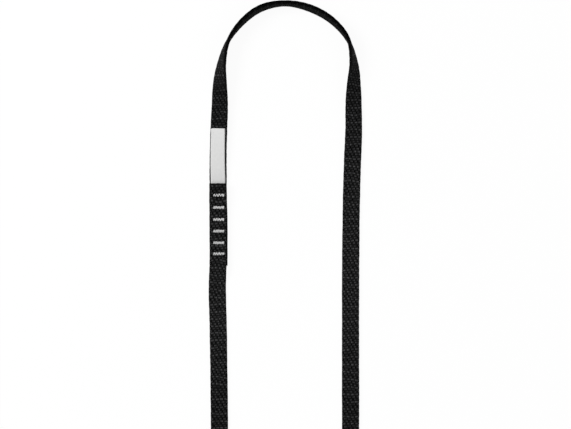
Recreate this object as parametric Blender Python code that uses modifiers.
"""A sewn climbing sling: flat tape closed into a loop by a bar-tacked splice, with a folded label.

The sling lies on a table, the splice on its left leg. Both legs lie on their faces. At each end of the loop
the tape turns a quarter turn and stands on its edge round the bight. One end of the tape is the back layer
of the splice, against the table, and the other end passes over it as the front layer.
"""

import math

import bmesh
import bpy
import numpy as np
from mathutils import Vector

# Sizes of the loop, in metres
SLING_LENGTH = 0.600  # pulled straight, so half of the way round the loop
TAPE_WIDTH = 0.016
TAPE_THICKNESS = 0.0032
TAPE_EDGE_RADIUS = 0.0013
EDGE_LIMIT_SHARE = 0.45  # the most that the radius may be of the thickness
TOP_SPACING = 0.1295  # between the middles of the legs, where the top bight starts
BOTTOM_SPACING = 0.127
BOTTOM_SHIFT = -0.0016  # how far the bottom bight lies to the right of the top one
BIGHT_HEIGHT = 0.0973

# Sizes of the splice
TACK_COUNT = 6
TACK_PITCH = 0.0114
TACK_WIDTH = 0.0113  # across the tape
TACK_HEIGHT = 0.0032  # along the tape
FIRST_TACK_DROP = 0.088  # from the start of the top bight down to the first tack
SPLICE_MARGIN = 0.0114  # from an outer tack's middle to the cut end beyond it
SPLICE_SHIFT = 0.0007  # how far the back layer peeps out towards the inside of the loop
STEP_LENGTH = 0.015  # the run in which the front layer comes down to the table

# Sizes of the sewing
STROKE_COUNT = 8
THREAD_DIAMETER = 0.0006
THREAD_GAP = 0.0002  # around each pass of the thread
THREAD_SINK = 0.0001  # how far the thread lies below the face of the tape
GROOVE_MARGIN = 0.0006  # pressed flat beyond the ends of the stitches
GROOVE_RAMP = 0.0016

# Sizes of the label
LABEL_WIDTH = 0.014
LABEL_SHOWING = 0.0533  # from its fold to the cut end that covers it
LABEL_TUCK = 0.004  # how far its ends reach past the first tack's middle
LABEL_THICKNESS = 0.0003
LABEL_PLY_GAP = 0.0002
LABEL_FOLD_RADIUS = 0.0006

# What lies on its neighbour keeps this gap to it
CLEARANCE = 0.0003
CUT_OVERRUN = 0.001
WELD_DISTANCE = 0.000003

# The longest stretches of tape and label that stay straight
BIGHT_FACET = 0.0055
TWIST_FACET = 0.010
LEG_FACET = 0.024
LABEL_FACET = 0.009
STEP_FACET = 0.0025

# Each row of the bight, from the left leg over the top to the right one: place across as a share of half
# the spacing, height as a share of the bight's, and turn of the face as a share of a quarter turn
BIGHT_SHARES = (
    (-1.003, 0.000, 0.24),
    (-1.000, 0.189, 0.42),
    (-0.975, 0.393, 0.70),
    (-0.892, 0.603, 0.92),
    (-0.693, 0.797, 1.05),
    (-0.398, 0.948, 1.08),
    (-0.027, 1.000, 1.02),
    (0.345, 0.952, 1.09),
    (0.672, 0.831, 1.08),
    (0.912, 0.645, 0.99),
    (1.000, 0.411, 0.73),
    (1.002, 0.189, 0.42),
    (1.000, 0.000, 0.24),
)
# The turns of the same rows at the bottom bight, where the legs stay flat for longer
BOTTOM_TURN_SHARES = (0.06, 0.30, 0.66, 0.92, 1.03, 1.06, 1.02, 1.07, 1.05, 0.96, 0.70, 0.32, 0.06)

# Each row of a leg: place down the leg as a share of its length, bow as a share of the tape's width, and
# turn of the face as a share of a quarter turn
RIGHT_LEG_SHARES = (
    (0.07, 0.025, 0.15),
    (0.17, -0.034, 0.07),
    (0.27, -0.075, 0.02),
    (0.44, -0.090, 0.00),
    (0.65, -0.065, 0.00),
    (0.90, -0.017, 0.00),
)
# Each row of the left leg below the splice: place up the leg as a share of the way from the bottom bight to
# the foot of the step, and bow as a share of the tape's width
LOW_STRETCH_SHARES = ((0.20, -0.023), (0.72, -0.090))
# Each row of the tape behind the label: place as a share of the way from the leg's top to the splice, bow as
# a share of the tape's width, and turn of the face as a share of a quarter turn
LABEL_STRETCH_SHARES = (
    (0.66, -0.116, 0.11),
    (0.30, -0.069, 0.18),
)
SPLICE_BOW_SHARE = -0.094

# The length of a thread's bend as a share of its diameter, and the run in which the label rises to its
# fold as a share of the fold's radius
BEND_SHARE = 0.6
FOLD_RUN_SHARE = 4

# The fineness of curves
SPAN_PARTS = 24
FOLD_PARTS = 6
THREAD_FINENESS = 1
QUARTER_TURN = math.pi / 2

# Colours
BLACK_TAPE = (0.011, 0.011, 0.012, 1.0)
WHITE_LABEL = (0.72, 0.72, 0.71, 1.0)
WHITE_THREAD = (0.62, 0.62, 0.60, 1.0)
GREY_THREAD = (0.50, 0.50, 0.49, 1.0)
TAPE_ROUGHNESS = 0.85
LABEL_ROUGHNESS = 0.6
THREAD_ROUGHNESS = 0.5


def new_collection(name):
    collection = bpy.data.collections.new(name)
    bpy.context.scene.collection.children.link(collection)
    return collection


def new_material(name, colour, roughness):
    material = bpy.data.materials.new(name)
    material.use_nodes = True
    shader = material.node_tree.nodes["Principled BSDF"]
    shader.inputs["Base Color"].default_value = colour
    shader.inputs["Roughness"].default_value = roughness
    shader.inputs["Metallic"].default_value = 0.0
    material.diffuse_color = colour
    return material


# The route of the tape


def travelled(rows):
    """The distance along the plan of each row, from the first."""
    steps = np.linalg.norm(np.diff(rows[:, :2], axis=0), axis=1)
    return np.concatenate([[0.0], np.cumsum(steps)])


def smoothed(rows):
    """Many rows on a smooth curve through the given ones, whose first two columns are x and y."""
    rows = np.array(rows, float)
    reach = travelled(rows)
    slopes = np.gradient(rows, reach, axis=0)
    fine = []
    for i in range(len(rows) - 1):
        span = reach[i + 1] - reach[i]
        for part in range(SPAN_PARTS):
            t = part / SPAN_PARTS
            start = (2 * t**3 - 3 * t**2 + 1) * rows[i] + (t**3 - 2 * t**2 + t) * span * slopes[i]
            end = (3 * t**2 - 2 * t**3) * rows[i + 1] + (t**3 - t**2) * span * slopes[i + 1]
            fine.append(start + end)
    fine.append(rows[-1])
    return np.array(fine)


def top_bight(base):
    """The rows of the top bight, left to right."""
    return [
        (across * TOP_SPACING / 2, base + height * BIGHT_HEIGHT, turn)
        for across, height, turn in BIGHT_SHARES
    ]


def bottom_bight(base):
    """The rows of the bottom bight, left to right: the top one upside down, at its own spacing."""
    return [
        (BOTTOM_SHIFT + across * BOTTOM_SPACING / 2, base - height * BIGHT_HEIGHT, turn)
        for (across, height, _), turn in zip(BIGHT_SHARES, BOTTOM_TURN_SHARES)
    ]


BIGHT_LENGTHS = [travelled(smoothed(rows))[-1] for rows in (top_bight(0.0), bottom_bight(0.0))]
LEG_LENGTH = SLING_LENGTH - sum(BIGHT_LENGTHS) / 2
LEG_TOP = LEG_LENGTH / 2
LEFT_TOP = -TOP_SPACING / 2
LEFT_BOTTOM = BOTTOM_SHIFT - BOTTOM_SPACING / 2
RIGHT_TOP = TOP_SPACING / 2
RIGHT_BOTTOM = BOTTOM_SHIFT + BOTTOM_SPACING / 2

SPLICE_LENGTH = (TACK_COUNT - 1) * TACK_PITCH + 2 * SPLICE_MARGIN
FRONT_END = LEG_TOP - FIRST_TACK_DROP + SPLICE_MARGIN
BACK_END = FRONT_END - SPLICE_LENGTH
SPLICE_X = LEFT_TOP + SPLICE_BOW_SHARE * TAPE_WIDTH
TACK_PLACES = [LEG_TOP - FIRST_TACK_DROP - i * TACK_PITCH for i in range(TACK_COUNT)]

CORNER = min(TAPE_EDGE_RADIUS, EDGE_LIMIT_SHARE * TAPE_THICKNESS)
LABEL_STACK = 2 * LABEL_THICKNESS + LABEL_PLY_GAP + CLEARANCE
GROOVE_DEPTH = THREAD_DIAMETER + THREAD_GAP + THREAD_SINK
GROOVE_HALF = TACK_HEIGHT / 2 + GROOVE_MARGIN


def route_rows():
    """Rows of the tape's middle, from the back layer's cut end round to the front layer's."""
    back_x = SPLICE_X + SPLICE_SHIFT / 2
    front_x = SPLICE_X - SPLICE_SHIFT / 2
    step_foot = BACK_END - STEP_LENGTH
    rows = [(back_x, BACK_END, 0.0), (back_x, (BACK_END + FRONT_END) / 2, 0.0), (front_x, FRONT_END, 0.0)]
    for down, bow, turn in LABEL_STRETCH_SHARES:
        rows.append((LEFT_TOP + bow * TAPE_WIDTH, LEG_TOP - down * (LEG_TOP - FRONT_END), turn))
    rows += top_bight(LEG_TOP)
    for down, bow, turn in RIGHT_LEG_SHARES:
        straight = RIGHT_TOP + down * (RIGHT_BOTTOM - RIGHT_TOP)
        rows.append((straight + bow * TAPE_WIDTH, LEG_TOP - down * LEG_LENGTH, turn))
    rows += reversed(bottom_bight(-LEG_TOP))
    for up, bow in LOW_STRETCH_SHARES:
        rows.append((LEFT_BOTTOM + bow * TAPE_WIDTH, up * (LEG_TOP + step_foot) - LEG_TOP, 0.0))
    rows += [(front_x - SPLICE_SHIFT, step_foot, 0.0), (front_x, BACK_END, 0.0)]
    rows += [(front_x, (BACK_END + FRONT_END) / 2, 0.0), (front_x, FRONT_END, 0.0)]
    return rows


ROUTE = smoothed(route_rows())
REACH = travelled(ROUTE)
ROUTE_LENGTH = REACH[-1]


def eased(place, marks):
    """The value at a place, from pairs of place and value joined by smooth ramps."""
    places, values = zip(*marks)
    i = int(np.clip(np.searchsorted(places, place) - 1, 0, len(marks) - 2))
    t = min(max((place - places[i]) / (places[i + 1] - places[i]), 0.0), 1.0)
    return values[i] + (values[i + 1] - values[i]) * t * t * (3 - 2 * t)


def lift(reach):
    """How high the tape's underside is carried by what lies beneath it."""
    from_front_end = ROUTE_LENGTH - reach
    on_tape = TAPE_THICKNESS + CLEARANCE
    on_label = on_tape + LABEL_STACK
    label_end = SPLICE_MARGIN + LABEL_TUCK + CLEARANCE
    past_label = max(SPLICE_MARGIN + TACK_PITCH - GROOVE_HALF, label_end + CLEARANCE)
    marks = (
        (0.0, on_label),
        (label_end, on_label),
        (past_label, on_tape),
        (SPLICE_LENGTH + CLEARANCE, on_tape),
        (SPLICE_LENGTH + STEP_LENGTH, 0.0),
        (ROUTE_LENGTH, 0.0),
    )
    return eased(from_front_end, marks)


def half_height(turn):
    """How high the tape's middle is over its lowest edge, with its face turned by this angle."""
    wide = TAPE_WIDTH / 2 - CORNER
    thick = TAPE_THICKNESS / 2 - CORNER
    return wide * abs(math.sin(turn)) + thick * abs(math.cos(turn)) + CORNER


def turn_at(reach):
    return max(0.0, float(np.interp(reach, REACH, ROUTE[:, 2]))) * QUARTER_TURN


def middle_at(reach):
    x, y = (float(np.interp(reach, REACH, ROUTE[:, i])) for i in (0, 1))
    return Vector((x, y, lift(reach) + half_height(turn_at(reach))))


def placed(reach, across, proud):
    """A point beside the tape's middle: across it towards its inner edge, and proud of its outer face."""
    nudge = CLEARANCE / 2
    along = (middle_at(reach + nudge) - middle_at(reach - nudge)).normalized()
    level = along.cross(Vector((0, 0, 1))).normalized()
    upright = level.cross(along)
    turn = turn_at(reach)
    towards_inside = level * math.cos(turn) + upright * math.sin(turn)
    outwards = upright * math.cos(turn) - level * math.sin(turn)
    return middle_at(reach) + towards_inside * across + outwards * proud


# The tape


def divided(start, end, longest):
    """Evenly spaced places from start up to, and without, end."""
    count = max(1, math.ceil((end - start) / longest))
    return [start + (end - start) * i / count for i in range(count)]


def reach_of(row_index):
    """The distance along the route of one of the rows that it goes through."""
    return float(REACH[row_index * SPAN_PARTS])


def groove_marks(splice_start):
    """Where the tape's section changes at each tack, as distances along the route."""
    marks = []
    for place in TACK_PLACES:
        middle = splice_start + place - BACK_END
        for offset in (GROOVE_HALF, GROOVE_HALF + GROOVE_RAMP):
            marks += [middle - offset, middle + offset]
    return sorted(marks)


def bight_stations(start, end):
    """Places round a bight, with one straight stretch centred on its apex."""
    window = (REACH >= start) & (REACH <= end)
    apex = float(REACH[window][int(np.argmax(np.abs(ROUTE[window][:, 1])))])
    before = divided(start, apex - BIGHT_FACET / 2, BIGHT_FACET)
    after = divided(apex + BIGHT_FACET / 2, end, BIGHT_FACET)
    return before + [apex - BIGHT_FACET / 2] + after


def tape_stations():
    """The distances along the route at which the tape has a section."""
    top = 3 + len(LABEL_STRETCH_SHARES)
    top_end = top + len(BIGHT_SHARES) - 1
    right_flat = top_end + 3
    right_low = top_end + len(RIGHT_LEG_SHARES)
    bottom = right_low + 1
    bottom_end = bottom + len(BIGHT_SHARES) - 1
    left_flat = bottom_end + 1
    front_splice = ROUTE_LENGTH - SPLICE_LENGTH
    step_foot = front_splice - STEP_LENGTH
    found = [0.0] + groove_marks(0.0)
    found += divided(SPLICE_LENGTH, reach_of(top), TWIST_FACET)
    found += bight_stations(reach_of(top), reach_of(top_end))
    found += divided(reach_of(top_end), reach_of(right_flat), TWIST_FACET)
    found += divided(reach_of(right_flat), reach_of(right_low), LEG_FACET)
    found += divided(reach_of(right_low), reach_of(bottom), TWIST_FACET)
    found += bight_stations(reach_of(bottom), reach_of(bottom_end))
    found += divided(reach_of(bottom_end), reach_of(left_flat), TWIST_FACET)
    found += divided(reach_of(left_flat), step_foot, LEG_FACET)
    found += divided(step_foot, front_splice, STEP_FACET)
    found += [front_splice] + groove_marks(front_splice) + [ROUTE_LENGTH]
    return found


def tape_outline():
    """The tape's section, flat faced with rounded edges, as a closed curve."""
    wide = TAPE_WIDTH / 2 - CORNER
    thick = TAPE_THICKNESS / 2 - CORNER
    corner = []
    for angle in (0.0, QUARTER_TURN / 2, QUARTER_TURN):
        corner.append((wide + CORNER * math.cos(angle), thick + CORNER * math.sin(angle)))
    outline = list(corner)
    outline += [(-x, y) for x, y in reversed(corner)]
    outline += [(-x, -y) for x, y in corner]
    outline += [(x, -y) for x, y in reversed(corner)]
    curve = bpy.data.curves.new("tape_outline", "CURVE")
    curve.dimensions = "2D"
    curve.fill_mode = "NONE"
    spline = curve.splines.new("POLY")
    spline.points.add(len(outline) - 1)
    for point, (x, y) in zip(spline.points, outline):
        point.co = (x, y, 0, 1)
    spline.use_cyclic_u = True
    return bpy.data.objects.new("tape_outline", curve)


def mesh_of(curve_object, name):
    """The curve as a mesh object with its caps welded on. The curve is removed."""
    bpy.context.scene.collection.objects.link(curve_object)
    graph = bpy.context.evaluated_depsgraph_get()
    mesh = bpy.data.meshes.new_from_object(curve_object.evaluated_get(graph))
    body = bmesh.new()
    body.from_mesh(mesh)
    bmesh.ops.remove_doubles(body, verts=body.verts, dist=WELD_DISTANCE)
    bmesh.ops.recalc_face_normals(body, faces=body.faces)
    body.to_mesh(mesh)
    body.free()
    made = bpy.data.objects.new(name, mesh)
    made.matrix_world = curve_object.matrix_world
    bpy.data.objects.remove(curve_object)
    return made


def press_grooves(mesh):
    """Draws the outer half of each layer in under its row of stitches, as the sewing does."""
    full = TAPE_THICKNESS / 2
    for vertex in mesh.vertices:
        x, y, z = vertex.co
        if x > SPLICE_X + TAPE_WIDTH or y > FRONT_END + GROOVE_RAMP or y < BACK_END - GROOVE_RAMP:
            continue
        front = z > TAPE_THICKNESS + CLEARANCE / 2
        reach = ROUTE_LENGTH - (FRONT_END - y) if front else y - BACK_END
        middle = lift(reach) + full if front else full
        depth = z - middle if front else middle - z
        if depth <= 0:
            continue
        away = min(abs(y - place) for place in TACK_PLACES)
        marks = ((0.0, 1.0), (GROOVE_HALF, 1.0), (GROOVE_HALF + GROOVE_RAMP, 0.0), (SPLICE_LENGTH, 0.0))
        pressed = depth * (1 - eased(away, marks) * GROOVE_DEPTH / full)
        vertex.co.z = middle + pressed if front else middle - pressed


def make_tape():
    outline = tape_outline()
    curve = bpy.data.curves.new("tape_route", "CURVE")
    curve.dimensions = "3D"
    curve.twist_mode = "Z_UP"
    curve.bevel_mode = "OBJECT"
    curve.bevel_object = outline
    curve.use_fill_caps = True
    stations = tape_stations()
    spline = curve.splines.new("POLY")
    spline.points.add(len(stations) - 1)
    for point, reach in zip(spline.points, stations):
        point.co = (*middle_at(reach), 1)
        point.tilt = -turn_at(reach)
    tape = mesh_of(bpy.data.objects.new("tape_route", curve), "webbing")
    bpy.data.objects.remove(outline)
    press_grooves(tape.data)
    tape.data.shade_smooth()
    tape.data.set_sharp_from_angle(angle=QUARTER_TURN / 2)
    return tape


# The sewing


def front_underside(place):
    return lift(ROUTE_LENGTH - (FRONT_END - place))


def stitch_passes():
    """Where the thread passes through, as places across the tape: one in an outer hole, two in others."""
    pair = THREAD_DIAMETER + THREAD_GAP
    advance = (TACK_WIDTH - THREAD_DIAMETER - (STROKE_COUNT - 1) * pair) / STROKE_COUNT
    first = -(TACK_WIDTH - THREAD_DIAMETER) / 2
    holes = [(first,)]
    for i in range(1, STROKE_COUNT):
        left = first + i * advance + (i - 1) * pair
        holes.append((left, left + pair))
    holes.append((-first,))
    return holes


def thread_points(place, face, depth, inwards):
    """A row of stitches as one thread: over the face, down a hole, across, up again and on."""
    reach = (TACK_HEIGHT - THREAD_DIAMETER) / 2
    bend = BEND_SHARE * THREAD_DIAMETER
    points = []
    for i, passes in enumerate(stitch_passes()):
        side = 1 if i % 2 == 0 else -1
        for number, across in enumerate(passes):
            leg = [
                (across, place + side * (reach - bend), face),
                (across, place + side * reach, face + inwards * bend),
                (across, place + side * reach, depth),
            ]
            rising = number == 1 or i == 0
            points += reversed(leg) if rising else leg
    return [(SPLICE_X + x, y, z) for x, y, z in points]


def make_thread(name, points):
    curve = bpy.data.curves.new(name, "CURVE")
    curve.dimensions = "3D"
    curve.bevel_depth = THREAD_DIAMETER / 2
    curve.bevel_resolution = THREAD_FINENESS
    curve.use_fill_caps = True
    spline = curve.splines.new("POLY")
    spline.points.add(len(points) - 1)
    for point, co in zip(spline.points, points):
        point.co = (*co, 1)
    return bpy.data.objects.new(name, curve)


def make_threads(number, place):
    """The needle thread on the front and the bobbin thread behind, which meet between the layers."""
    underside = front_underside(place)
    meeting = (TAPE_THICKNESS + underside) / 2
    front_face = underside + TAPE_THICKNESS - THREAD_SINK - THREAD_DIAMETER / 2
    back_face = THREAD_SINK + THREAD_DIAMETER / 2
    half_apart = (CLEARANCE + THREAD_DIAMETER) / 2
    needle = make_thread(
        f"needle_thread_{number}", thread_points(place, front_face, meeting + half_apart, -1)
    )
    bobbin = make_thread(
        f"bobbin_thread_{number}", thread_points(place, back_face, meeting - half_apart, 1)
    )
    return needle, bobbin


def make_stitch_holes():
    """One cutter for every hole that the needle made, through both layers and the label."""
    body = bmesh.new()
    height = 2 * (TAPE_THICKNESS + CUT_OVERRUN) + LABEL_STACK + CLEARANCE
    reach = (TACK_HEIGHT - THREAD_DIAMETER) / 2
    for place in TACK_PLACES:
        for i, passes in enumerate(stitch_passes()):
            side = 1 if i % 2 == 0 else -1
            width = passes[-1] - passes[0] + THREAD_DIAMETER + 2 * THREAD_GAP
            depth = THREAD_DIAMETER + 2 * THREAD_GAP
            made = bmesh.ops.create_cube(body, size=1.0)["verts"]
            bmesh.ops.scale(body, verts=made, vec=(width, depth, height))
            middle = (SPLICE_X + (passes[0] + passes[-1]) / 2, place + side * reach, height / 2 - CUT_OVERRUN)
            bmesh.ops.translate(body, verts=made, vec=middle)
    mesh = bpy.data.meshes.new("stitch_holes")
    body.to_mesh(mesh)
    body.free()
    holes = bpy.data.objects.new("stitch_holes", mesh)
    holes.hide_render = True
    holes.display_type = "WIRE"
    return holes


def pierce(piece, holes):
    cut = piece.modifiers.new("stitch_holes", "BOOLEAN")
    cut.operation = "DIFFERENCE"
    cut.solver = "EXACT"
    cut.object = holes


# The label


def label_line():
    """The label's middle line as pairs: distance along the route, and height over the back layer's face."""
    low = CLEARANCE + LABEL_THICKNESS / 2
    high = low + LABEL_THICKNESS + LABEL_PLY_GAP
    tucked = SPLICE_LENGTH - SPLICE_MARGIN - LABEL_TUCK
    fold = SPLICE_LENGTH + LABEL_SHOWING - LABEL_FOLD_RADIUS - LABEL_THICKNESS / 2
    lifting = fold - FOLD_RUN_SHARE * LABEL_FOLD_RADIUS
    runs = divided(tucked, SPLICE_LENGTH, LABEL_FACET)
    runs += divided(SPLICE_LENGTH, lifting, LABEL_FACET) + [lifting]
    line = [(reach, low) for reach in runs]
    for i in range(FOLD_PARTS + 1):
        angle = 2 * QUARTER_TURN * i / FOLD_PARTS
        rise = LABEL_FOLD_RADIUS * (1 - math.cos(angle))
        line.append((fold + LABEL_FOLD_RADIUS * math.sin(angle), low + rise))
    return line + [(reach, high) for reach in reversed(runs)]


def make_label():
    line = label_line()
    body = bmesh.new()
    rows = bmesh.ops.create_grid(body, x_segments=2, y_segments=len(line) - 1, size=1.0)["verts"]
    rows.sort(key=lambda vertex: (round(vertex.co.y, 6), vertex.co.x))
    for i, vertex in enumerate(rows):
        reach, height = line[i // 3]
        across = (i % 3 - 1) * LABEL_WIDTH / 2
        vertex.co = placed(reach, across, TAPE_THICKNESS / 2 + height)
    mesh = bpy.data.meshes.new("label")
    body.to_mesh(mesh)
    body.free()
    mesh.shade_smooth()
    mesh.set_sharp_from_angle(angle=QUARTER_TURN / 2)
    label = bpy.data.objects.new("label", mesh)
    cloth = label.modifiers.new("thickness", "SOLIDIFY")
    cloth.thickness = LABEL_THICKNESS
    cloth.offset = 0
    return label


def centre_on_table(tape):
    """An empty under the middle of the loop, which carries every piece."""
    xs = [vertex.co.x for vertex in tape.data.vertices]
    ys = [vertex.co.y for vertex in tape.data.vertices]
    middle = bpy.data.objects.new("sling_middle", None)
    middle.location = (-(min(xs) + max(xs)) / 2, -(min(ys) + max(ys)) / 2, 0)
    return middle


def main():
    for thing in list(bpy.data.objects):
        bpy.data.objects.remove(thing)
    pieces = new_collection("climbing_sling")
    cutters = new_collection("cutters")
    tape_finish = new_material("black_webbing", BLACK_TAPE, TAPE_ROUGHNESS)
    label_finish = new_material("white_label", WHITE_LABEL, LABEL_ROUGHNESS)
    needle_finish = new_material("white_thread", WHITE_THREAD, THREAD_ROUGHNESS)
    bobbin_finish = new_material("grey_thread", GREY_THREAD, THREAD_ROUGHNESS)
    tape = make_tape()
    label = make_label()
    holes = make_stitch_holes()
    finished = [(tape, tape_finish), (label, label_finish)]
    for i, place in enumerate(TACK_PLACES):
        needle, bobbin = make_threads(i + 1, place)
        finished += [(needle, needle_finish), (bobbin, bobbin_finish)]
    middle = centre_on_table(tape)
    pieces.objects.link(middle)
    cutters.objects.link(holes)
    holes.parent = middle
    for piece, finish in finished:
        pieces.objects.link(piece)
        piece.parent = middle
        piece.data.materials.append(finish)
    pierce(tape, holes)
    pierce(label, holes)


main()
